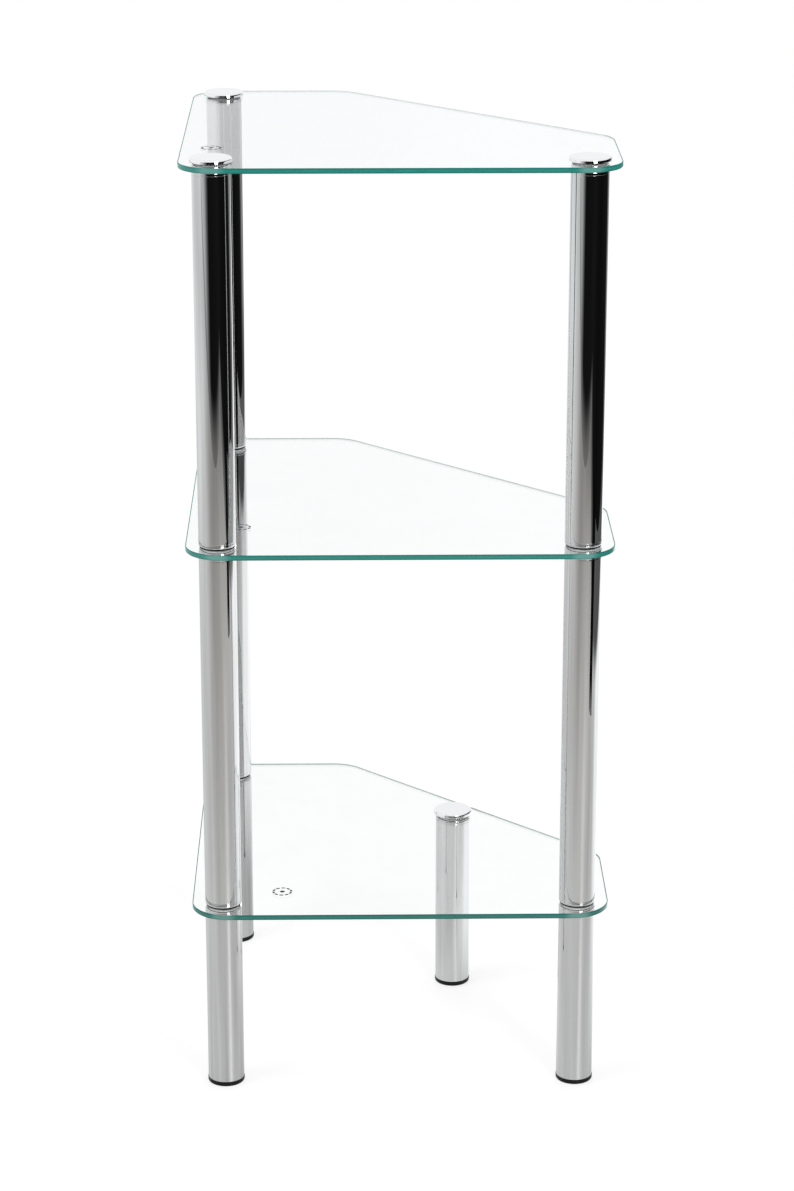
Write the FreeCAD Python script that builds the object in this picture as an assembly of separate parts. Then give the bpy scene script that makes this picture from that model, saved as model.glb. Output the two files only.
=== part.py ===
import FreeCAD, Part
import math
import os

# Glass shelves: a square whose far corner is cut off by a diagonal side
shelf_side = 400.0
short_side = 150.0
shelf_corner_radius = 35.0
glass_thickness = 5.0
glass_arris = 0.6

# Chromed tubes, standing a set distance in from the sides of the shelves
tube_diameter = 35.0
tube_wall = 1.2
tube_rim_chamfer = 0.4
leg_length = 172.0
post_length = 345.0
column_inset = 30.0
short_leg_inset = 25.0

# End plugs: a collar as wide as the tube over a ribbed spigot inside it
collar_height = 4.0
collar_edge_chamfer = 0.8
spigot_length = 18.0
spigot_wall = 2.0
spigot_lead_in = 0.8
boss_diameter = 14.0
rib_thickness = 2.5
rib_count = 4
press_clearance = 0.05

# Threaded studs, and the depth that they reach into a plug below its collar
stud_diameter = 8.0
stud_engagement = 12.0
stud_tip_chamfer = 1.0
thread_clearance = 0.05

# Rubber washers and plastic bushes between the metal and the glass
washer_thickness = 1.0
upper_washer_setback = 1.0
lower_washer_setback = 2.5
bush_wall = 1.7
bush_clearance = 0.1
stud_clearance = 0.2

# Caps that close a column on top of a shelf
cap_overhang = 2.0
cap_height = 4.0
cap_edge_radius = 1.8

# Feet: a lip under the tube and a hollow finned stem inside it
foot_height = 5.0
foot_overhang = 0.3
foot_edge_radius = 2.0
foot_stem_length = 16.0
foot_stem_wall = 2.0
foot_fin_depth = 1.5
foot_fin_count = 3

# Sizes and levels that follow from the ones above
half_side = shelf_side / 2
tube_radius = tube_diameter / 2
tube_bore_radius = tube_radius - tube_wall
press_radius = tube_bore_radius - press_clearance
stud_radius = stud_diameter / 2
stud_passage_radius = stud_radius + stud_clearance
glass_hole_radius = stud_passage_radius + bush_wall + bush_clearance
joint_height = collar_height + washer_thickness
shelf_pitch = post_length + 2 * joint_height + glass_thickness
shelf_names = ["bottom", "middle", "top"]
first_shelf_base = foot_height + leg_length + joint_height
shelf_bases = {name: first_shelf_base + shelf_pitch * i for i, name in enumerate(shelf_names)}

# Axes of the columns: three full-height ones, and the short leg behind the diagonal side
near = -half_side + column_inset
far = half_side - column_inset
columns = {"corner": (near, near), "right": (far, near), "back": (near, far)}
short_leg_axis = short_side / 2 - short_leg_inset / math.sqrt(2)
short_leg_place = (short_leg_axis, short_leg_axis)
shelf_holes = {
    "bottom": [*columns.values(), short_leg_place],
    "middle": list(columns.values()),
    "top": list(columns.values()),
}

UP = FreeCAD.Vector(0, 0, 1)
CENTRE = FreeCAD.Vector(0, 0, 0)
SAME = 1e-6


def save(name, *shapes):
    """Write one node: a single solid, or a group of separate ones."""
    shape = shapes[0] if len(shapes) == 1 else Part.makeCompound(list(shapes))
    shape.exportStep("parts/" + name + ".step")


def placed(shape, place, height):
    """A copy of a piece moved to a column and a level."""
    copy = shape.copy()
    copy.translate(FreeCAD.Vector(place[0], place[1], height))
    return copy


def upside_down(shape):
    """A copy of a piece turned over about its own origin."""
    copy = shape.copy()
    copy.rotate(CENTRE, FreeCAD.Vector(1, 0, 0), 180)
    return copy


def turned(profile):
    """A solid of revolution about Z from (radius, height) points."""
    points = [FreeCAD.Vector(radius, 0, height) for radius, height in profile]
    face = Part.Face(Part.makePolygon(points + points[:1]))
    return face.revolve(CENTRE, UP, 360)


def ring(outer_radius, inner_radius, height):
    """A plain flat-ended sleeve standing on the origin."""
    outer = Part.makeCylinder(outer_radius, height)
    return outer.cut(Part.makeCylinder(inner_radius, height))


def circles_at(shape, radius, heights):
    """The round edges of a piece that have this radius and lie at these heights."""
    found = []
    for edge in shape.Edges:
        if not isinstance(edge.Curve, Part.Circle):
            continue
        same_radius = abs(edge.Curve.Radius - radius) < SAME
        if same_radius and any(abs(edge.Curve.Center.z - height) < SAME for height in heights):
            found.append(edge)
    return found


def rounded_outline(corners, radius):
    """A closed wire through the corners, each replaced by a tangent arc."""
    count = len(corners)
    arcs = []
    for i, corner in enumerate(corners):
        back = (corners[i - 1] - corner).normalize()
        ahead = (corners[(i + 1) % count] - corner).normalize()
        half_angle = back.getAngle(ahead) / 2
        setback = radius / math.tan(half_angle)
        bisector = (back + ahead).normalize()
        arc_middle = corner + bisector * (radius / math.sin(half_angle) - radius)
        arcs.append((corner + back * setback, arc_middle, corner + ahead * setback))
    edges = []
    for i, arc in enumerate(arcs):
        edges.append(Part.Arc(*arc).toShape())
        edges.append(Part.LineSegment(arc[2], arcs[(i + 1) % count][0]).toShape())
    return Part.Wire(edges)


def shelf(holes):
    """A pane with rounded corners, drilled for its studs, every rim ground to an arris."""
    corners = [
        FreeCAD.Vector(-half_side, -half_side, 0),
        FreeCAD.Vector(half_side, -half_side, 0),
        FreeCAD.Vector(half_side, -half_side + short_side, 0),
        FreeCAD.Vector(-half_side + short_side, half_side, 0),
        FreeCAD.Vector(-half_side, half_side, 0),
    ]
    outline = Part.Face(rounded_outline(corners, shelf_corner_radius))
    pane = outline.extrude(UP * glass_thickness)
    for place in holes:
        pane = pane.cut(placed(Part.makeCylinder(glass_hole_radius, glass_thickness), place, 0))
    rims = [edge for edge in pane.Edges if edge.BoundBox.ZLength < glass_thickness / 2]
    return pane.makeChamfer(glass_arris, rims)


def tube(length):
    """An open tube with both outer rims broken."""
    body = ring(tube_radius, tube_bore_radius, length)
    return body.makeChamfer(tube_rim_chamfer, circles_at(body, tube_radius, [0, length]))


def end_plug():
    """A collar above the origin, with a threaded boss and ribs inside a spigot below it."""
    collar = Part.makeCylinder(tube_radius, collar_height)
    rims = circles_at(collar, tube_radius, [0, collar_height])
    collar = collar.makeChamfer(collar_edge_chamfer, rims)
    spigot_inner = press_radius - spigot_wall
    spigot = turned([
        (spigot_inner, 0),
        (press_radius, 0),
        (press_radius, spigot_lead_in - spigot_length),
        (press_radius - spigot_lead_in, -spigot_length),
        (spigot_inner, -spigot_length),
    ])
    boss = Part.makeCylinder(boss_diameter / 2, spigot_length, CENTRE, -UP)
    rib_reach = press_radius - spigot_wall / 2
    ribs = []
    for i in range(rib_count):
        rib = Part.makeBox(rib_reach, rib_thickness, spigot_length - spigot_lead_in)
        rib.translate(FreeCAD.Vector(0, -rib_thickness / 2, spigot_lead_in - spigot_length))
        rib.rotate(CENTRE, UP, 360 * i / rib_count)
        ribs.append(rib)
    body = collar.fuse([spigot, boss, *ribs]).removeSplitter()
    bore_radius = stud_radius + thread_clearance
    bore = Part.makeCylinder(bore_radius, spigot_length + collar_height, -UP * spigot_length)
    return body.cut(bore)


def stud_shank(length):
    """A stud on the origin, pointing up, with its free end chamfered."""
    shank = Part.makeCylinder(stud_radius, length)
    return shank.makeChamfer(stud_tip_chamfer, circles_at(shank, stud_radius, [length]))


def joining_stud():
    """A stud chamfered at both ends, centred in the thickness of the glass."""
    half_length = glass_thickness / 2 + joint_height + stud_engagement
    upper = stud_shank(half_length)
    return upper.fuse(upside_down(upper)).removeSplitter()


def cap():
    """A disc with a rounded top edge, and its stud through the glass into the plug below."""
    disc_radius = tube_radius + cap_overhang
    disc = Part.makeCylinder(disc_radius, cap_height)
    disc = disc.makeFillet(cap_edge_radius, circles_at(disc, disc_radius, [cap_height]))
    reach = washer_thickness + glass_thickness + joint_height + stud_engagement
    return disc.fuse(upside_down(stud_shank(reach))).removeSplitter()


def foot():
    """A glide whose lip carries the tube, on a hollow stem with fins that grip the bore."""
    lip_radius = tube_radius + foot_overhang
    lip = Part.makeCylinder(lip_radius, foot_height)
    lip = lip.makeFillet(foot_edge_radius, circles_at(lip, lip_radius, [0]))
    core_radius = press_radius - foot_fin_depth
    fin_pitch = foot_stem_length / foot_fin_count
    profile = [(core_radius - foot_stem_wall, foot_height), (core_radius, foot_height)]
    for i in range(foot_fin_count):
        fin_base = foot_height + fin_pitch * i + fin_pitch / 2
        profile.append((core_radius, fin_base))
        profile.append((press_radius, fin_base))
        profile.append((core_radius, fin_base + fin_pitch / 2))
    profile.append((core_radius - foot_stem_wall, foot_height + foot_stem_length))
    return lip.fuse(turned(profile)).removeSplitter()


def washer(setback):
    return ring(tube_radius - setback, stud_passage_radius, washer_thickness)


def bush():
    return ring(stud_passage_radius + bush_wall, stud_passage_radius, glass_thickness)


def save_column_tube(name, place, base, length, plug, plugged_ends):
    """One tube of a column with the plugs at its ends."""
    save(name, placed(tube(length), place, base))
    if "top" in plugged_ends:
        save(name + "_top_plug", placed(plug, place, base + length))
    if "bottom" in plugged_ends:
        save(name + "_bottom_plug", placed(upside_down(plug), place, base))


def save_shelves():
    """Each shelf with its bushes and the washers above and below it."""
    upper_washer = washer(upper_washer_setback)
    lower_washer = washer(lower_washer_setback)
    for name, base in shelf_bases.items():
        holes = shelf_holes[name]
        top = base + glass_thickness
        under = base - washer_thickness
        save(name + "_shelf", placed(shelf(holes), (0, 0), base))
        save(name + "_shelf_bushes", *[placed(bush(), hole, base) for hole in holes])
        save(name + "_shelf_upper_washers", *[placed(upper_washer, hole, top) for hole in holes])
        save(name + "_shelf_lower_washers", *[placed(lower_washer, hole, under) for hole in holes])


def save_columns():
    """The three full-height columns, from the foot up to the cap."""
    plug = end_plug()
    above_glass = glass_thickness + joint_height
    for name, place in columns.items():
        save(name + "_foot", placed(foot(), place, 0))
        save_column_tube(name + "_leg", place, foot_height, leg_length, plug, ["top"])
        for shelf_name, post in (("bottom", "_lower_post"), ("middle", "_upper_post")):
            base = shelf_bases[shelf_name]
            middle = base + glass_thickness / 2
            save(name + "_" + shelf_name + "_stud", placed(joining_stud(), place, middle))
            post_base = base + above_glass
            save_column_tube(name + post, place, post_base, post_length, plug, ["top", "bottom"])
        cap_base = shelf_bases["top"] + glass_thickness + washer_thickness
        save(name + "_cap", placed(cap(), place, cap_base))


def save_short_leg():
    """The leg that carries only the bottom shelf, closed by a cap on top of the glass."""
    save("short_leg_foot", placed(foot(), short_leg_place, 0))
    save_column_tube("short_leg", short_leg_place, foot_height, leg_length, end_plug(), ["top"])
    cap_base = shelf_bases["bottom"] + glass_thickness + washer_thickness
    save("short_leg_cap", placed(cap(), short_leg_place, cap_base))


os.makedirs("parts", exist_ok=True)
save_shelves()
save_columns()
save_short_leg()
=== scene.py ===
import math

import bmesh
import bpy
from mathutils import Matrix, Vector


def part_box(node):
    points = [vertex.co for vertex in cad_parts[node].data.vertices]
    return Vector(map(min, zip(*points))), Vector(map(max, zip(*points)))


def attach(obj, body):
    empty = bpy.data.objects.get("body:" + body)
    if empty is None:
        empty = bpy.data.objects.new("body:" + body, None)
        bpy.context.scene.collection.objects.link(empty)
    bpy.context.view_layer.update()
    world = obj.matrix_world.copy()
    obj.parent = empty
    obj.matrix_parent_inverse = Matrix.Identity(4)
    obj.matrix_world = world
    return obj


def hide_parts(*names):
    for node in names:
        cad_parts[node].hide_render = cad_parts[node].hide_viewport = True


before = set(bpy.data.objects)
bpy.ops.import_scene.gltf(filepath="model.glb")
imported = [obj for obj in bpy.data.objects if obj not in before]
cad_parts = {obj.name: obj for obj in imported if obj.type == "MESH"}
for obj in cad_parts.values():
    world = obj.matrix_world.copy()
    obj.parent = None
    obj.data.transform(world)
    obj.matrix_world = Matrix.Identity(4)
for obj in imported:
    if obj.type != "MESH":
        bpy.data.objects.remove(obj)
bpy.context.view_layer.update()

# Feet: black polypropylene glides, each injection moulded in one piece.
# The lip carries the tube, and the finned stem is pushed into the tube's bore.
MM = 0.001
LIP_RADIUS, LIP_HEIGHT, LIP_ROUNDING, SOLE_RADIUS = 17.8, 5.0, 2.0, 13.0
STEM_CORE, STEM_GRIP, STEM_BORE = 14.75, 16.25, 12.75
STEM_LENGTH, STEM_FINS = 16.0, 3
MOULD_ROUNDING, FIN_ROUNDING = 0.3, 0.15
MOULD_CLOUD, SPARK_GRAIN, GRAIN_DEPTH = 6.0, 0.4, 0.05
TURNING_STEPS, ROUNDING_STEPS, WELD = 96, 8, 1e-7
SHARP_EDGE = math.radians(30)
SHARE, FROM, TO = 0, 6, 7  # the sockets of a Mix node that blends colours
columns = ("corner", "right", "back")
legs = columns + ("short_leg",)


def linear(hex_colour):
    """An sRGB hex colour as the linear RGBA that sockets take."""
    parts = [int(hex_colour[i : i + 2], 16) / 255 for i in (1, 3, 5)]
    return (*[p / 12.92 if p <= 0.04045 else ((p + 0.055) / 1.055) ** 2.4 for p in parts], 1.0)


def node(tree, kind, inputs=None, **settings):
    """Add one node, set its properties, and feed its inputs from values, sockets or other nodes."""
    made = tree.nodes.new("ShaderNode" + kind)
    for name, value in settings.items():
        setattr(made, name, value)
    for name, value in (inputs or {}).items():
        if isinstance(value, bpy.types.Node):
            value = next(output for output in value.outputs if output.enabled)
        if isinstance(value, bpy.types.NodeSocket):
            tree.links.new(value, made.inputs[name])
        else:
            made.inputs[name].default_value = value
    return made


def new_material(name):
    """An empty material, its node tree, and the socket that gives each point's place in metres."""
    material = bpy.data.materials.new(name)
    material.use_nodes = True
    tree = material.node_tree
    tree.nodes.clear()
    return material, tree, node(tree, "TexCoord").outputs["Object"]


def turned(profile):
    """A shape spun about Z from (radius, height, edge rounding) points in mm."""
    bm = bmesh.new()
    points = [bm.verts.new((radius * MM, 0, height * MM)) for radius, height, _ in profile]
    for start, end in zip(points, points[1:]):
        bm.edges.new((start, end))
    if profile[0][0] > 0:
        bm.edges.new((points[-1], points[0]))
    for point, (_, _, rounding) in zip(points, profile):
        if rounding:
            bmesh.ops.bevel(
                bm, geom=[point], offset=rounding * MM, offset_type="OFFSET",
                affect="VERTICES", segments=ROUNDING_STEPS, profile=0.5, material=-1,
            )
    bmesh.ops.spin(
        bm, geom=bm.verts[:] + bm.edges[:], cent=(0, 0, 0), axis=(0, 0, 1),
        angle=math.tau, steps=TURNING_STEPS, use_merge=True,
    )
    bmesh.ops.remove_doubles(bm, verts=bm.verts, dist=WELD)
    return bm


def as_mesh(bm):
    """Close off a shape: faces outward, smooth but for its real edges."""
    bmesh.ops.recalc_face_normals(bm, faces=bm.faces)
    for face in bm.faces:
        face.smooth = True
    for edge in bm.edges:
        edge.smooth = edge.calc_face_angle(0) < SHARP_EDGE
    mesh = bpy.data.meshes.new("shape")
    bm.to_mesh(mesh)
    bm.free()
    return mesh


def add(name, data):
    """A new object in the scene."""
    made = bpy.data.objects.new(name, data)
    bpy.context.scene.collection.objects.link(made)
    return made


def fit(name, shape, materials, place, cad_node=None):
    """Put a copy of a shape in its place, to stand for a CAD node if one is named."""
    mesh = shape.copy()
    mesh.transform(place)
    mesh.name = name
    for material in materials:
        mesh.materials.append(material)
    piece = add(name, mesh)
    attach(piece, "root")
    if cad_node:
        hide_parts(cad_node)
    return piece


def axis_at(cad_node, height):
    """A shift to the axis of a CAD node at a height in metres."""
    low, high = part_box(cad_node)
    return Matrix.Translation(((low.x + high.x) / 2, (low.y + high.y) / 2, height))


# Moulded polypropylene: black through and through, with the faint sheen and fine grain
# that a spark-eroded mould leaves. The grain is drawn coarser than life so that it shows.
polypropylene, tree, where = new_material("moulded_black_polypropylene")
clouds = node(tree, "TexNoise", {"Vector": where, "Scale": 1 / (MOULD_CLOUD * MM), "Detail": 3.0})
grain = node(tree, "TexNoise", {"Vector": where, "Scale": 1 / (SPARK_GRAIN * MM), "Detail": 2.0})
shade = node(tree, "Mix", {
    SHARE: clouds, FROM: linear("#050506"), TO: linear("#0e0e10"),
}, data_type="RGBA")
sheen = node(tree, "MapRange", {"Value": clouds, "To Min": 0.28, "To Max": 0.42})
pores = node(tree, "Bump", {"Height": grain, "Strength": 0.25, "Distance": GRAIN_DEPTH * MM})
skin = node(tree, "BsdfPrincipled", {
    "Base Color": shade, "Roughness": sheen, "IOR": 1.3, "Normal": pores,
})
node(tree, "OutputMaterial", {"Surface": skin})

fin_pitch = STEM_LENGTH / STEM_FINS
fins = []
for i in range(STEM_FINS):
    fin_base = LIP_HEIGHT + fin_pitch * (i + 0.5)
    fins += [
        (STEM_CORE, fin_base, 0),
        (STEM_GRIP, fin_base, FIN_ROUNDING),
        (STEM_CORE, fin_base + fin_pitch / 2, 0),
    ]
foot_shape = as_mesh(turned([
    (0, 0, 0),
    (SOLE_RADIUS, 0, 0),
    (LIP_RADIUS, 0, LIP_ROUNDING),
    (LIP_RADIUS, LIP_HEIGHT, MOULD_ROUNDING),
    (STEM_CORE, LIP_HEIGHT, 0),
    *fins,
    (STEM_BORE, LIP_HEIGHT + STEM_LENGTH, MOULD_ROUNDING),
    (STEM_BORE, LIP_HEIGHT, 0),
    (0, LIP_HEIGHT, 0),
]))
for leg in legs:
    foot = leg + "_foot"
    fit(foot + "_glide", foot_shape, [polypropylene], axis_at(foot, 0), foot)

# Tubes: legs and posts of drawn steel tube, cut square, their rims broken,
# then polished and chrome plated.
TUBE_RADIUS, TUBE_BORE, RIM_ROUNDING, RIM_HEIGHT = 17.5, 16.3, 0.1, 1.5
DRAW_WAVE, WAVE_STRETCH, WAVE_DEPTH, POLISH_HAZE = 5.0, 50, 0.03, 35.0
tubes = [column + run for column in columns for run in ("_leg", "_lower_post", "_upper_post")]
tubes.append("short_leg")

# Bright chrome: a clear mirror, neutral in colour. The tube's drawing leaves faint waves
# along its length that pull reflections out into streaks. Real ones are too fine to
# show, so they are drawn as coarse as they need to be. The same waves band the plate's
# colour lighter and darker, as painted reflection streaks.
chrome, tree, where = new_material("bright_chrome_plate")
along = node(tree, "Mapping", {"Vector": where, "Scale": (1.0, 1.0, 1 / WAVE_STRETCH)})
drawn = node(tree, "TexNoise", {"Vector": along, "Scale": 1 / (DRAW_WAVE * MM), "Detail": 2.0})
haze = node(tree, "TexNoise", {"Vector": where, "Scale": 1 / (POLISH_HAZE * MM), "Detail": 4.0})
# Painted reflection: the waves band the plate's colour lighter and darker, standing for streaks of
# the room mirrored along the tube.
painted_streak_band = node(tree, "MapRange", {"Value": drawn, "From Min": 0.3, "From Max": 0.7})
tone = node(tree, "Mix", {
    SHARE: painted_streak_band, FROM: linear("#c3c3c2"), TO: linear("#d8d8d8"),
}, data_type="RGBA")
polish = node(tree, "MapRange", {"Value": haze, "To Min": 0.008, "To Max": 0.02})
waves = node(tree, "Bump", {"Height": drawn, "Strength": 0.5, "Distance": WAVE_DEPTH * MM})
mirror = node(tree, "BsdfPrincipled", {
    "Base Color": tone, "Metallic": 1.0, "Roughness": polish, "Normal": waves,
})
node(tree, "OutputMaterial", {"Surface": mirror})

for tube in tubes:
    low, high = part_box(tube)
    length = (high.z - low.z) / MM
    tube_shape = as_mesh(turned([
        (TUBE_BORE, 0, RIM_ROUNDING),
        (TUBE_RADIUS, 0, RIM_ROUNDING),
        (TUBE_RADIUS, RIM_HEIGHT, 0),
        (TUBE_RADIUS, length - RIM_HEIGHT, 0),
        (TUBE_RADIUS, length, RIM_ROUNDING),
        (TUBE_BORE, length, RIM_ROUNDING),
    ]))
    fit(tube + "_tube", tube_shape, [chrome], axis_at(tube, low.z), tube)

# End plugs: die-cast collars as wide as the tube, each on a ribbed spigot that is
# pressed into the tube's end, and plated to match. The boss takes the stud.
COLLAR_HEIGHT, COLLAR_FACE, COLLAR_ROUNDING, SEAM_ROUNDING = 4.0, 15.0, 1.8, 0.1
SPIGOT_RADIUS, SPIGOT_BORE, SPIGOT_LENGTH, LEAD_IN = 16.25, 14.25, 18.0, 0.8
BOSS_RADIUS, BOSS_ROUNDING, STUD_BORE, BORE_ROUNDING = 7.0, 0.4, 4.05, 0.3
RIBS, RIB_THICKNESS, RIB_ROOT = 4, 2.5, 0.5
bm = turned([
    (STUD_BORE, COLLAR_HEIGHT, BORE_ROUNDING),
    (COLLAR_FACE, COLLAR_HEIGHT, 0),
    (TUBE_RADIUS, COLLAR_HEIGHT, COLLAR_ROUNDING),
    (TUBE_RADIUS, 0, SEAM_ROUNDING),
    (SPIGOT_RADIUS, 0, 0),
    (SPIGOT_RADIUS, LEAD_IN - SPIGOT_LENGTH, 0),
    (SPIGOT_RADIUS - LEAD_IN, -SPIGOT_LENGTH, 0),
    (SPIGOT_BORE, -SPIGOT_LENGTH, 0),
    (SPIGOT_BORE, 0, 0),
    (BOSS_RADIUS, 0, 0),
    (BOSS_RADIUS, -SPIGOT_LENGTH, BOSS_ROUNDING),
    (STUD_BORE, -SPIGOT_LENGTH, BORE_ROUNDING),
])
rib_length = SPIGOT_BORE - BOSS_RADIUS + 2 * RIB_ROOT
rib_height = SPIGOT_LENGTH - LEAD_IN
rib_middle = (BOSS_RADIUS + SPIGOT_BORE) / 2
rib_size = Matrix.Diagonal((rib_length * MM, RIB_THICKNESS * MM, rib_height * MM, 1))
rib_seat = Matrix.Translation((rib_middle * MM, 0, -rib_height / 2 * MM))
for i in range(RIBS):
    turn = Matrix.Rotation(math.tau * i / RIBS, 4, "Z")
    bmesh.ops.create_cube(bm, size=1, matrix=turn @ rib_seat @ rib_size)
plug_shape = as_mesh(bm)
upside_down = Matrix.Rotation(math.pi, 4, "X")
for tube in tubes:
    plug = tube + "_top_plug"
    place = axis_at(plug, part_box(plug)[1].z - COLLAR_HEIGHT * MM)
    fit(plug + "_collar", plug_shape, [chrome], place, plug)
    if tube.endswith("post"):
        plug = tube + "_bottom_plug"
        place = axis_at(plug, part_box(plug)[0].z + COLLAR_HEIGHT * MM) @ upside_down
        fit(plug + "_collar", plug_shape, [chrome], place, plug)

# Shelves: toughened float glass, a square with its far corner cut off. Outline and
# stud holes are ground and polished, with an arris all round, before toughening.
GLASS_THICKNESS, GLASS_ARRIS, CORNER_RADIUS, CORNER_STEPS = 5.0, 0.6, 35.0, 24
HALF_SIDE, SHORT_SIDE = 200.0, 150.0
HOLE_RADIUS, HOLE_PLACE, HOLE_STEPS = 6.0, 170.0, 48
WIPING_CLOUD = 60.0
shelves = ("bottom_shelf", "middle_shelf", "top_shelf")

# Float glass: clear, with a breath of green, and dead flat, so it shows only by
# its reflections and by a wiping haze too thin to blur what is behind it.
float_glass, tree, where = new_material("clear_float_glass")
wiping = node(tree, "TexNoise", {
    "Vector": where, "Scale": 1 / (WIPING_CLOUD * MM), "Detail": 5.0, "Distortion": 1.5,
})
film = node(tree, "Mix", {
    SHARE: wiping, FROM: linear("#ffffff"), TO: linear("#f9fcfb"),
}, data_type="RGBA")
clear = node(tree, "BsdfPrincipled", {
    "Base Color": film, "Roughness": 0.0, "IOR": 1.52, "Transmission Weight": 1.0,
})
node(tree, "OutputMaterial", {"Surface": clear})

# Ground glass edge: light that enters here runs the whole length of the pane, so the iron
# in it shows as sea green. It is deepest along both matt arrises. Painted shade darkens
# the lowest pane. A painted lighter tone lies on the arrises of the flanks. A painted pale
# glow stands in front of each sleeve, for the sleeve seen through the glass. Painted pale
# room light fills the edge where it is seen from inside the pane.
# The lines of the grinding wheel are drawn coarser than life so that they show.
FLANK_STARTS, FLANK_FULL, GLOW_FULL, GLOW_ENDS = 190.0, 197.0, 5.0, 15.0
LOWEST_PANE, MIDDLE_PANE = 180.0, 550.0
ARRIS_STARTS, ARRIS_FULL = 0.36, 0.385
IRON_DRIFT, GRINDING_LINE, LINE_STRETCH, LINE_DEPTH = 18.0, 0.5, 50, 0.03
smooth = {"interpolation_type": "SMOOTHSTEP"}  # a Map Range that eases in and out
edge_glass, tree, where = new_material("ground_glass_edge")
up = node(tree, "SeparateXYZ", {"Vector": node(tree, "UVMap", uv_map="edge")}).outputs["Y"]
from_middle = node(tree, "Math", {0: up, 1: 0.5}, operation="SUBTRACT")
off_middle = node(tree, "Math", {0: from_middle}, operation="ABSOLUTE")
outward = node(tree, "MapRange", {"Value": off_middle, "From Min": 0.05, "From Max": 0.5}, **smooth)
drift = node(tree, "TexNoise", {"Vector": where, "Scale": 1 / (IRON_DRIFT * MM), "Detail": 3.0})
plan = node(tree, "VectorMath", {0: where, 1: (1.0, 1.0, 0.0)}, operation="MULTIPLY")
folded_plan = node(tree, "VectorMath", {0: plan}, operation="ABSOLUTE")
# Painted light: on the left and right edges the arris colour is lighter, and the colour seen from
# inside is darker.
flank = node(tree, "MapRange", {
    "Value": node(tree, "SeparateXYZ", {"Vector": folded_plan}).outputs["X"],
    "From Min": FLANK_STARTS * MM, "From Max": FLANK_FULL * MM,
}, **smooth)
arris = node(tree, "Mix", {
    SHARE: flank, FROM: linear("#165d55"), TO: linear("#169383"),
}, data_type="RGBA")
sea = node(tree, "Mix", {SHARE: outward, FROM: linear("#33897f"), TO: arris}, data_type="RGBA")
drifted = node(tree, "Mix", {SHARE: drift, FROM: sea, TO: linear("#1f7067")}, data_type="RGBA")
# Painted shade: the lowest pane's edge is darkened towards deep green, as less light comes down to
# it.
lowest_pane_shade = node(tree, "MapRange", {
    "Value": node(tree, "SeparateXYZ", {"Vector": where}).outputs["Z"],
    "From Min": MIDDLE_PANE * MM, "From Max": LOWEST_PANE * MM, "To Min": 0.0, "To Max": 0.35,
})
painted_low_shade = node(tree, "Mix", {
    SHARE: lowest_pane_shade, FROM: drifted, TO: linear("#0a3d37"),
}, data_type="RGBA")
# Painted glow: the edge turns pale in front of each sleeve, standing for the sleeve seen through
# the glass.
from_sleeve = node(tree, "VectorMath", {
    0: folded_plan, 1: (HOLE_PLACE * MM, HALF_SIDE * MM, 0.0),
}, operation="DISTANCE")
painted_sleeve_glow = node(tree, "MapRange", {
    "Value": from_sleeve, "From Min": GLOW_FULL * MM, "From Max": GLOW_ENDS * MM,
    "To Min": 0.22, "To Max": 0.0,
}, **smooth)
outside = node(tree, "Mix", {
    SHARE: painted_sleeve_glow, FROM: painted_low_shade, TO: linear("#a3c4bf"),
}, data_type="RGBA")
# Painted light: seen from inside the pane the edge is pale, for the white room seen through it, and
# darker on the flanks.
painted_room_inside = node(tree, "Mix", {
    SHARE: flank, FROM: linear("#98aaa5"), TO: linear("#1f554c"),
}, data_type="RGBA")
seen = node(tree, "Mix", {
    SHARE: node(tree, "NewGeometry").outputs["Backfacing"], FROM: outside, TO: painted_room_inside,
}, data_type="RGBA")
strokes = node(tree, "Mapping", {
    "Vector": where, "Scale": (1 / LINE_STRETCH, 1 / LINE_STRETCH, 1.0),
})
grinding = node(tree, "TexNoise", {
    "Vector": strokes, "Scale": 1 / (GRINDING_LINE * MM), "Detail": 2.0,
})
ground = node(tree, "Bump", {"Height": grinding, "Strength": 0.3, "Distance": LINE_DEPTH * MM})
gloss = node(tree, "MapRange", {"Value": drift, "To Min": 0.08, "To Max": 0.22})
matt_arris = node(tree, "MapRange", {
    "Value": off_middle, "From Min": ARRIS_STARTS, "From Max": ARRIS_FULL,
    "To Min": 0.5, "To Max": 0.0,
})
rim = node(tree, "BsdfPrincipled", {
    "Base Color": seen, "Roughness": gloss, "IOR": 1.52,
    "Specular IOR Level": matt_arris, "Normal": ground,
})
node(tree, "OutputMaterial", {"Surface": rim})


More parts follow.
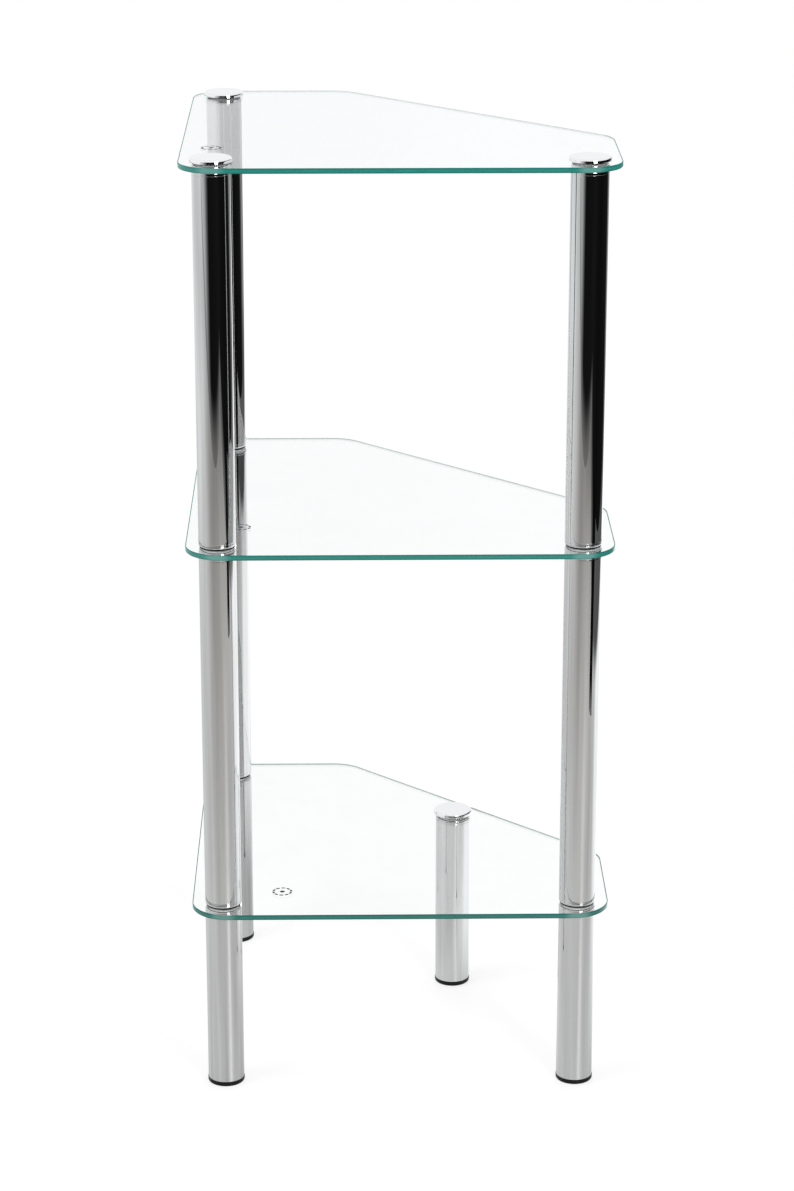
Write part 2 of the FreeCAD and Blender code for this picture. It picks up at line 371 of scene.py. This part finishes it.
def pane_shape(holes):
    """A drilled pane on z = 0 with rounded corners and ground rims."""
    bm = bmesh.new()
    cut = SHORT_SIDE - HALF_SIDE
    square = [(-HALF_SIDE, -HALF_SIDE), (HALF_SIDE, -HALF_SIDE), (-HALF_SIDE, HALF_SIDE)]
    outline = [square[0], square[1], (HALF_SIDE, cut), (cut, HALF_SIDE), square[2]]
    corners = [bm.verts.new((x * MM, y * MM, 0)) for x, y in outline]
    bm.faces.new(corners)
    for corner, point in zip(corners, outline):
        opening = math.radians(90 if point in square else 135)
        bmesh.ops.bevel(
            bm, geom=[corner], offset=CORNER_RADIUS / math.tan(opening / 2) * MM,
            offset_type="OFFSET", affect="VERTICES", segments=CORNER_STEPS, profile=0.5,
            material=-1,
        )
    bmesh.ops.delete(bm, geom=bm.faces[:], context="FACES_ONLY")
    for x, y in holes:
        bmesh.ops.create_circle(
            bm, radius=HOLE_RADIUS * MM, segments=HOLE_STEPS,
            matrix=Matrix.Translation((x, y, 0)),
        )
    bmesh.ops.triangle_fill(bm, edges=bm.edges[:], use_beauty=True, normal=(0, 0, 1))
    top = bmesh.ops.extrude_face_region(bm, geom=bm.faces[:])["geom"]
    lifted = [part for part in top if isinstance(part, bmesh.types.BMVert)]
    bmesh.ops.translate(bm, verts=lifted, vec=(0, 0, GLASS_THICKNESS * MM))
    bmesh.ops.recalc_face_normals(bm, faces=bm.faces)
    rims = [
        edge for edge in bm.edges
        if edge.verts[0].co.z == edge.verts[1].co.z and edge.calc_face_angle(0) > SHARP_EDGE
    ]
    bmesh.ops.bevel(
        bm, geom=rims, offset=GLASS_ARRIS * MM, offset_type="OFFSET", affect="EDGES",
        segments=1, profile=0.5, material=-1,
    )
    rise = bm.loops.layers.uv.new("edge")
    for face in bm.faces:
        level = abs(face.normal.z) > math.cos(SHARP_EDGE)
        face.material_index = 0 if level else 1
        for loop in face.loops:
            loop[rise].uv = (0.5, loop.vert.co.z / (GLASS_THICKNESS * MM))
    return as_mesh(bm)


for shelf in shelves:
    standing = legs if shelf == "bottom_shelf" else columns
    holes = [axis_at(leg + "_foot", 0).translation.xy for leg in standing]
    place = Matrix.Translation((0, 0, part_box(shelf)[0].z))
    pane = fit(shelf + "_pane", pane_shape(holes), [float_glass, edge_glass], place, shelf)
    pane.visible_shadow = pane.visible_diffuse = False

# Marks: the small print that a toughening plant fires on to each pane near its
# corner, a plain dashed ring round a dot.
MARK_OUTER, MARK_INNER, MARK_DOT, MARK_FILM = 9.7, 7.6, 2.4, 0.03
DASHES, DASH_SHARE, DASH_STEPS, DOT_STEPS = 10, 0.7, 8, 24
INK_SPECKLE = 0.8
mark_places = {
    "bottom_shelf": (-114, -143), "middle_shelf": (-150, -111), "top_shelf": (-172, -102),
}

# Fired enamel: a thin matt grey print, a little uneven where the ink was thin.
enamel, tree, where = new_material("fired_grey_enamel")
speckle = node(tree, "TexNoise", {"Vector": where, "Scale": 1 / (INK_SPECKLE * MM), "Detail": 3.0})
ink = node(tree, "Mix", {
    SHARE: speckle, FROM: linear("#1f2423"), TO: linear("#4c5251"),
}, data_type="RGBA")
dry = node(tree, "MapRange", {"Value": speckle, "To Min": 0.5, "To Max": 0.8})
printed = node(tree, "BsdfPrincipled", {"Base Color": ink, "Roughness": dry, "IOR": 1.2})
node(tree, "OutputMaterial", {"Surface": printed})

bm = bmesh.new()
dash_pitch = math.tau / DASHES
for i in range(DASHES):
    turn = Matrix.Rotation(dash_pitch * i, 3, "Z")
    spoke = [bm.verts.new(turn @ Vector((r * MM, 0, 0))) for r in (MARK_INNER, MARK_OUTER)]
    bmesh.ops.spin(
        bm, geom=spoke + [bm.edges.new(spoke)], cent=(0, 0, 0), axis=(0, 0, 1),
        angle=dash_pitch * DASH_SHARE, steps=DASH_STEPS, use_merge=False,
    )
bmesh.ops.create_circle(bm, cap_ends=True, radius=MARK_DOT * MM, segments=DOT_STEPS)
raised = bmesh.ops.extrude_face_region(bm, geom=bm.faces[:])["geom"]
film_top = [part for part in raised if isinstance(part, bmesh.types.BMVert)]
bmesh.ops.translate(bm, verts=film_top, vec=(0, 0, MARK_FILM * MM))
mark_shape = as_mesh(bm)
for shelf, (x, y) in mark_places.items():
    place = Matrix.Translation((x * MM, y * MM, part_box(shelf)[1].z))
    fit(shelf + "_mark", mark_shape, [enamel], place)

# Washers and bushes: a black rubber ring above each pane, a narrower milky silicone
# one below it and a nylon sleeve in each hole, so that no metal bears on the glass.
TALC_DUST, CUT_DEPTH, SILICONE_BLOOM, NYLON_CLOUD = 3.0, 0.1, 3.0, 4.0


def dress(cad_nodes, material):
    """Give CAD nodes that keep their own shape a finish."""
    for name in cad_nodes:
        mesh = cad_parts[name].data
        mesh.materials.clear()
        mesh.materials.append(material)


# Rubber sheet: matt and almost black, dusted by the talc it was cut in.
rubber, tree, where = new_material("black_rubber_sheet")
talc = node(tree, "TexNoise", {"Vector": where, "Scale": 1 / (TALC_DUST * MM), "Detail": 4.0})
dusted = node(tree, "Mix", {
    SHARE: talc, FROM: linear("#040404"), TO: linear("#0d0d0d"),
}, data_type="RGBA")
cut_face = node(tree, "Bump", {"Height": talc, "Strength": 0.4, "Distance": CUT_DEPTH * MM})
matt = node(tree, "BsdfPrincipled", {
    "Base Color": dusted, "Roughness": 0.75, "IOR": 1.3, "Normal": cut_face,
})
node(tree, "OutputMaterial", {"Surface": matt})
dress([shelf + "_upper_washers" for shelf in shelves], rubber)

# Silicone rubber: milky and soft, paler than the glass it lies under, with the
# slight bloom that silicone keeps.
silicone, tree, where = new_material("milky_silicone_rubber")
bloom = node(tree, "TexNoise", {"Vector": where, "Scale": 1 / (SILICONE_BLOOM * MM), "Detail": 4.0})
clouded = node(tree, "Mix", {
    SHARE: bloom, FROM: linear("#cfd6d5"), TO: linear("#e4e8e7"),
}, data_type="RGBA")
supple = node(tree, "MapRange", {"Value": bloom, "To Min": 0.4, "To Max": 0.6})
jelly = node(tree, "BsdfPrincipled", {"Base Color": clouded, "Roughness": supple, "IOR": 1.41})
node(tree, "OutputMaterial", {"Surface": jelly})
dress([shelf + "_lower_washers" for shelf in shelves], silicone)

# Natural nylon: milky white, with a soft sheen from the turning tool.
nylon, tree, where = new_material("natural_nylon")
milk = node(tree, "TexNoise", {"Vector": where, "Scale": 1 / (NYLON_CLOUD * MM), "Detail": 3.0})
milky = node(tree, "Mix", {
    SHARE: milk, FROM: linear("#d9d8cf"), TO: linear("#eceae3"),
}, data_type="RGBA")
soft = node(tree, "MapRange", {"Value": milk, "To Min": 0.35, "To Max": 0.55})
sleeve = node(tree, "BsdfPrincipled", {"Base Color": milky, "Roughness": soft, "IOR": 1.53})
node(tree, "OutputMaterial", {"Surface": sleeve})
dress([shelf + "_bushes" for shelf in shelves], nylon)

# Studs: M8 threaded steel rod, zinc plated, screwed into the plug below a pane
# and the plug above it, so that the two tubes clamp the glass between them.
THREAD_PITCH, THREAD_DEPTH, ZINC_BLOOM = 1.25, 0.6, 5.0
WAVE_RATE = 20  # the Wave texture's own rate, in radians for each unit of scale

# Zinc plate: a dull bluish silver, with the thread's ridges across it.
zinc, tree, where = new_material("zinc_plated_thread")
ridges = node(tree, "TexWave", {
    "Vector": where, "Scale": math.tau / WAVE_RATE / (THREAD_PITCH * MM),
}, wave_type="BANDS", bands_direction="Z").outputs["Fac"]
bloom = node(tree, "TexNoise", {"Vector": where, "Scale": 1 / (ZINC_BLOOM * MM), "Detail": 3.0})
silver = node(tree, "Mix", {
    SHARE: bloom, FROM: linear("#a9adaf"), TO: linear("#c3c7c8"),
}, data_type="RGBA")
dull = node(tree, "MapRange", {"Value": bloom, "To Min": 0.25, "To Max": 0.45})
thread = node(tree, "Bump", {"Height": ridges, "Strength": 0.8, "Distance": THREAD_DEPTH * MM})
rod = node(tree, "BsdfPrincipled", {
    "Base Color": silver, "Metallic": 1.0, "Roughness": dull, "Normal": thread,
})
node(tree, "OutputMaterial", {"Surface": rod})
dress([column + level + "_stud" for column in columns for level in ("_bottom", "_middle")], zinc)

# Caps: turned discs with a rounded top edge and a stud of their own, chrome plated,
# that close the columns on the top shelf and the short leg on the bottom one.
CAP_RADIUS, CAP_FLAT, CAP_HEIGHT, CAP_ROUNDING, CAP_DRAFT = 19.5, 16.5, 4.0, 1.8, 0.35
CAP_STUD_RADIUS, CAP_STUD_LENGTH, TIP_CHAMFER = 4.0, 23.0, 1.0
LATHE_RING, RING_DEPTH, CAP_HAZE, LAP_DEPTH, LAP_FULL = 0.9, 0.01, 20.0, 0.1, 0.02

# Turned chrome: bright plate on a disc faced in the lathe, so that its polish
# runs in faint rings round the axis, drawn coarser than life so that they show. Its colour
# is set near white, well above the tubes' plate, a painted highlight that makes the
# mirrored room read white. The flat top is lapped to a perfect mirror.
turned_chrome, tree, where = new_material("turned_chrome_plate")
lathe = node(tree, "SeparateXYZ", {"Vector": node(tree, "UVMap", uv_map="turning")}).outputs
rings = node(tree, "TexNoise", {
    "W": lathe["X"], "Scale": 1 / (LATHE_RING * MM), "Detail": 2.0,
}, noise_dimensions="1D")
# Painted highlight: the plate's colour is set near white; the lathe rings vary it a little.
lathe_rings_and_painted_lift = node(tree, "Mix", {
    SHARE: rings, FROM: linear("#f0f0f0"), TO: linear("#f9f9f9"),
}, data_type="RGBA")
haze = node(tree, "TexNoise", {"Vector": where, "Scale": 1 / (CAP_HAZE * MM), "Detail": 4.0})
polish = node(tree, "MapRange", {"Value": haze, "To Min": 0.008, "To Max": 0.025})
lapped = node(tree, "MapRange", {
    "Value": lathe["Y"],
    "From Min": (CAP_HEIGHT - LAP_DEPTH) * MM, "From Max": (CAP_HEIGHT - LAP_FULL) * MM,
    "To Min": polish, "To Max": 0.0,
})
grooves = node(tree, "Bump", {"Height": rings, "Strength": 0.1, "Distance": RING_DEPTH * MM})
disc = node(tree, "BsdfPrincipled", {
    "Base Color": lathe_rings_and_painted_lift, "Metallic": 1.0, "Roughness": lapped, "Normal": grooves,
})
node(tree, "OutputMaterial", {"Surface": disc})

cap_shape = as_mesh(turned([
    (0, CAP_HEIGHT, 0),
    (CAP_FLAT, CAP_HEIGHT, 0),
    (CAP_RADIUS - CAP_DRAFT, CAP_HEIGHT, CAP_ROUNDING),
    (CAP_RADIUS, 0, SEAM_ROUNDING),
    (CAP_STUD_RADIUS, 0, 0),
    (CAP_STUD_RADIUS, TIP_CHAMFER - CAP_STUD_LENGTH, 0),
    (CAP_STUD_RADIUS - TIP_CHAMFER, -CAP_STUD_LENGTH, 0),
    (0, -CAP_STUD_LENGTH, 0),
]))
turning = cap_shape.uv_layers.new(name="turning")
for loop in cap_shape.loops:
    point = cap_shape.vertices[loop.vertex_index].co
    turning.uv[loop.index].vector = (math.hypot(*point.xy), point.z)
for face in cap_shape.polygons:
    face.material_index = 1 if face.center.z < 0 else 0
for leg in legs:
    cap = leg + "_cap"
    place = axis_at(cap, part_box(cap)[1].z - CAP_HEIGHT * MM)
    fit(cap + "_disc", cap_shape, [turned_chrome, zinc], place, cap)

# Floor: white paper rolled out far past the object. It keeps the object's soft
# shadow near the feet and is plain white further out.
FLOOR_REACH, SHADOW_RADIUS, PLAIN_RADIUS = 15.0, 0.35, 1.1
bm = bmesh.new()
bmesh.ops.create_grid(bm, x_segments=1, y_segments=1, size=FLOOR_REACH)
floor = add("paper_floor", as_mesh(bm))

# Matt white paper, evened out to white where it is looked at or seen through glass.
# In the chrome it shows a painted reflection, with light of its own: bright behind
# and to the right of the object, fading and a little warmer towards the front, and dark
# to the right of the line where the cards stand.
paper, tree, where = new_material("matt_white_paper")
rays = node(tree, "LightPath").outputs
mirrored = node(tree, "Math", {0: rays["Glossy Depth"], 1: 1.0}, operation="MINIMUM")
passing = node(tree, "Math", {
    0: rays["Is Camera Ray"], 1: rays["Is Transmission Ray"],
}, operation="MAXIMUM")
looked_at = node(tree, "Math", {0: passing, 1: mirrored}, operation="SUBTRACT", use_clamp=True)
away = node(tree, "VectorMath", {0: where}, operation="LENGTH")
evened = node(tree, "MapRange", {
    "Value": away, "From Min": SHADOW_RADIUS, "From Max": PLAIN_RADIUS,
    "To Min": 0.75, "To Max": 1.0,
}, **smooth)
whitened = node(tree, "Math", {0: looked_at, 1: evened}, operation="MULTIPLY")
spot = node(tree, "SeparateXYZ", {"Vector": where}).outputs
ahead = node(tree, "MapRange", {"Value": spot["Y"], "From Min": 0.6, "From Max": -2.0}, **smooth)
beside = node(tree, "MapRange", {"Value": spot["X"], "From Min": -4.5, "From Max": -0.5}, **smooth)
dim = node(tree, "Math", {0: ahead, 1: beside}, operation="MULTIPLY")
far = node(tree, "MapRange", {
    "Value": away, "From Min": 1.0, "From Max": 3.0, "To Min": 0.36, "To Max": 0.62,
}, **smooth)
falloff = node(tree, "MapRange", {"Value": dim, "To Min": far, "To Max": 0.02})
behind = node(tree, "MapRange", {"Value": spot["Y"], "From Min": -0.25, "From Max": 0.1}, **smooth)
right = node(tree, "MapRange", {"Value": spot["X"], "From Min": -0.1, "From Max": 0.3}, **smooth)
bright_quarter = node(tree, "Math", {0: behind, 1: right}, operation="MULTIPLY")
lifted_light = node(tree, "MapRange", {
    "Value": bright_quarter, "To Min": falloff, "To Max": 0.95,
})
past_cards = node(tree, "MapRange", {
    "Value": spot["X"], "From Min": 1.3, "From Max": 1.5,
}, **smooth)
shaded_light = node(tree, "MapRange", {
    "Value": past_cards, "To Min": lifted_light, "To Max": 0.0,
})
bounce = node(tree, "Math", {0: shaded_light, 1: mirrored}, operation="MULTIPLY")
# Painted reflection: the paper's tone as mirrored in the chrome, a little warmer where it is dim.
painted_reflection_tone = node(tree, "Mix", {
    SHARE: dim, FROM: linear("#a3a4a4"), TO: linear("#a8a5a1"),
}, data_type="RGBA")
in_chrome = node(tree, "Mix", {
    SHARE: past_cards, FROM: painted_reflection_tone, TO: linear("#1c1b1a"),
}, data_type="RGBA")
tone = node(tree, "Mix", {
    SHARE: mirrored, FROM: linear("#f4f4f4"), TO: in_chrome,
}, data_type="RGBA")
lit = node(tree, "BsdfPrincipled", {
    "Base Color": tone, "Roughness": 0.42, "IOR": 1.45,
    "Emission Color": linear("#f9fbfd"), "Emission Strength": bounce,
})
white = node(tree, "Emission", {"Color": linear("#ffffff"), "Strength": 1.0})
sheet = node(tree, "MixShader", {0: whitened, 1: lit, 2: white})
node(tree, "OutputMaterial", {"Surface": sheet})
paper.cycles.emission_sampling = "NONE"
floor.data.materials.append(paper)

# Dark cards: tall flats in front and to the right of the object, seen only in the
# chrome. Their painted shade and light give its upper half the deep bands of a mirror in a dim
# studio.
CARD_HEIGHT, TOP_FADE, CLEAR_FROM, CLEAR_ABOVE = 3.0, 0.1, 0.68, 0.76
FRONT_LINE, RIGHT_LINE = -2.35, 1.45


def card(name, length, place, turn, top, shades, foot_glow=0.12, seen_twice=True):
    """A standing card seen only in chrome, shaded along its length by (position, hex) stops."""
    bm = bmesh.new()
    bmesh.ops.create_grid(bm, x_segments=1, y_segments=1, size=0.5)
    upright = Matrix.Translation((0, 0, CARD_HEIGHT / 2)) @ Matrix.Rotation(math.pi / 2, 4, "X")
    stand = Matrix.Translation(place) @ Matrix.Rotation(math.radians(turn), 4, "Z") @ upright
    size = Matrix.Diagonal((length, CARD_HEIGHT, 1, 1))
    bmesh.ops.transform(bm, verts=bm.verts, matrix=stand @ size)
    made = add(name, as_mesh(bm))
    made.visible_camera = made.visible_diffuse = made.visible_shadow = False

    # Painted shade and light: deep grey, shaded along the card, with a painted
    # glow at its foot that stands for light off the paper.
    material, tree, where = new_material(name + "_velvet")
    across = node(tree, "SeparateXYZ", {"Vector": where}).outputs
    start, end = shades[0][0], shades[-1][0]
    run = node(tree, "ValToRGB", {"Fac": node(tree, "MapRange", {
        "Value": across["Y" if turn else "X"], "From Min": start, "From Max": end,
    })})
    stops = run.color_ramp.elements
    for i, (position, colour) in enumerate(shades):
        stop = stops[i] if i < 2 else stops.new(1.0)
        stop.position = (position - start) / (end - start)
        stop.color = linear(colour)
    # Painted light: a glow at the card's foot for light thrown up off the paper.
    glow = node(tree, "MapRange", {
        "Value": across["Z"], "From Min": 0.0, "From Max": foot_glow, "To Min": 1.0, "To Max": 0.0,
    }, **smooth)
    painted_shade_and_glow = node(tree, "Mix", {SHARE: glow, FROM: run, TO: linear("#7c7c7c")}, data_type="RGBA")
    painted_light = node(tree, "Emission", {"Color": painted_shade_and_glow, "Strength": 1.0})

    # The panes and the lapped caps mirror no card, and its upper part isn't seen through glass.
    rays = node(tree, "LightPath").outputs
    upper = node(tree, "MapRange", {
        "Value": across["Z"], "From Min": CLEAR_FROM, "From Max": CLEAR_ABOVE,
    }, **smooth)
    left_out = node(tree, "Math", {0: rays["Is Reflection Ray"], 1: upper}, operation="MAXIMUM")
    in_pane = node(tree, "Math", {0: rays["Is Singular Ray"], 1: left_out}, operation="MULTIPLY")
    below_top = node(tree, "MapRange", {
        "Value": across["Z"], "From Min": top - TOP_FADE, "From Max": top,
        "To Min": 1.0, "To Max": 0.0,
    }, **smooth)
    in_chrome = node(tree, "Math", {0: below_top, 1: in_pane}, operation="SUBTRACT", use_clamp=True)
    once = node(tree, "Math", {0: rays["Glossy Depth"], 1: 1.0}, operation="MINIMUM")
    solid = node(tree, "Math", {0: once, 1: in_chrome}, operation="MULTIPLY")
    if seen_twice:
        twice = node(tree, "Math", {
            0: rays["Glossy Depth"], 1: 1.0,
        }, operation="SUBTRACT", use_clamp=True)
        solid = node(tree, "Math", {0: solid, 1: twice}, operation="MAXIMUM")
    shown = node(tree, "MixShader", {0: solid, 1: node(tree, "BsdfTransparent"), 2: painted_light})
    node(tree, "OutputMaterial", {"Surface": shown})
    material.cycles.emission_sampling = "NONE"
    made.data.materials.append(material)


card("front_card", 5.4, (-1.2, FRONT_LINE, 0), 0, 1.4, [
    (-3.9, "#f4f5f8"), (-1.9, "#b6b8ba"), (-1.3, "#707070"), (-0.85, "#151515"), (1.4, "#1b1b1b"),
])
card("right_card", 1.75, (RIGHT_LINE, -1.475, 0), 90, 1.4, [(-2.35, "#1b1b1b"), (-0.6, "#121212")])
card("far_right_card", 2.5, (RIGHT_LINE, 0.65, 0.17), 90, 1.4, [
    (-0.6, "#121212"), (0.7, "#1c1c1c"), (1.3, "#808080"), (1.9, "#e0e0e0"),
], seen_twice=False)
card("near_right_card", 0.36, (1.08, -0.69, 0), 65, 0.36, [
    (-0.86, "#101010"), (-0.52, "#101010"),
], foot_glow=0.05, seen_twice=False)

# Studio light: a large soft box at the left, one overhead and a small one at the
# front right that puts the bright spot on each rounded chrome edge.


def soft_box(name, place, aim, size, power, in_chrome):
    """An area lamp aimed at a point, out of sight except perhaps in chrome."""
    lamp = bpy.data.lights.new(name, "AREA")
    lamp.shape = "RECTANGLE"
    lamp.size, lamp.size_y = size
    lamp.energy = power
    made = add(name, lamp)
    made.location = place
    made.rotation_euler = (Vector(aim) - Vector(place)).to_track_quat("-Z", "Y").to_euler()
    made.visible_camera = made.visible_transmission = False
    made.visible_glossy = in_chrome


soft_box("left_soft_box", (-2.2, -1.0, 2.4), (0, 0, 0.4), (1.8, 1.8), 46, in_chrome=False)
soft_box("overhead_soft_box", (0.2, 0.4, 3.2), (0, 0, 0), (2.4, 2.4), 52, in_chrome=False)
soft_box("front_soft_box", (0.95, -1.88, 1.4), (0, 0, 0.7), (0.6, 1.3), 24, in_chrome=True)

# Room: plain white wherever it is looked at, straight, through glass or in chrome,
# and a dimmer fill for everything it lights.
FILL, PLAIN_WHITE = 0.4, 1.0
world = bpy.data.worlds.new("white_room")
bpy.context.scene.world = world
world.use_nodes = True
tree = world.node_tree
tree.nodes.clear()
rays = node(tree, "LightPath").outputs
straight = node(tree, "Math", {
    0: rays["Is Camera Ray"], 1: rays["Is Transmission Ray"],
}, operation="MAXIMUM")
shown = node(tree, "Math", {0: straight, 1: rays["Is Glossy Ray"]}, operation="MAXIMUM")
mirrored = node(tree, "Math", {0: rays["Glossy Depth"], 1: 1.0}, operation="MINIMUM")
strength = node(tree, "MapRange", {"Value": shown, "To Min": FILL, "To Max": PLAIN_WHITE})
cool = node(tree, "Mix", {
    SHARE: mirrored, FROM: linear("#ffffff"), TO: linear("#f9fafc"),
}, data_type="RGBA")
room = node(tree, "Background", {"Color": cool, "Strength": strength})
node(tree, "OutputWorld", {"Surface": room})

# Camera: the photograph's place, a little above the top shelf and left of centre,
# tilted down without shift.
lens = bpy.data.cameras.new("camera")
lens.sensor_width, lens.lens = 36.0, 101.7
camera = add("camera", lens)
camera.location = (-0.0446, -3.150, 1.4868)
camera.rotation_euler = (math.pi / 2 - 0.3204, 0, -0.0139)
bpy.context.scene.camera = camera
bpy.context.scene.view_settings.view_transform = "Standard"
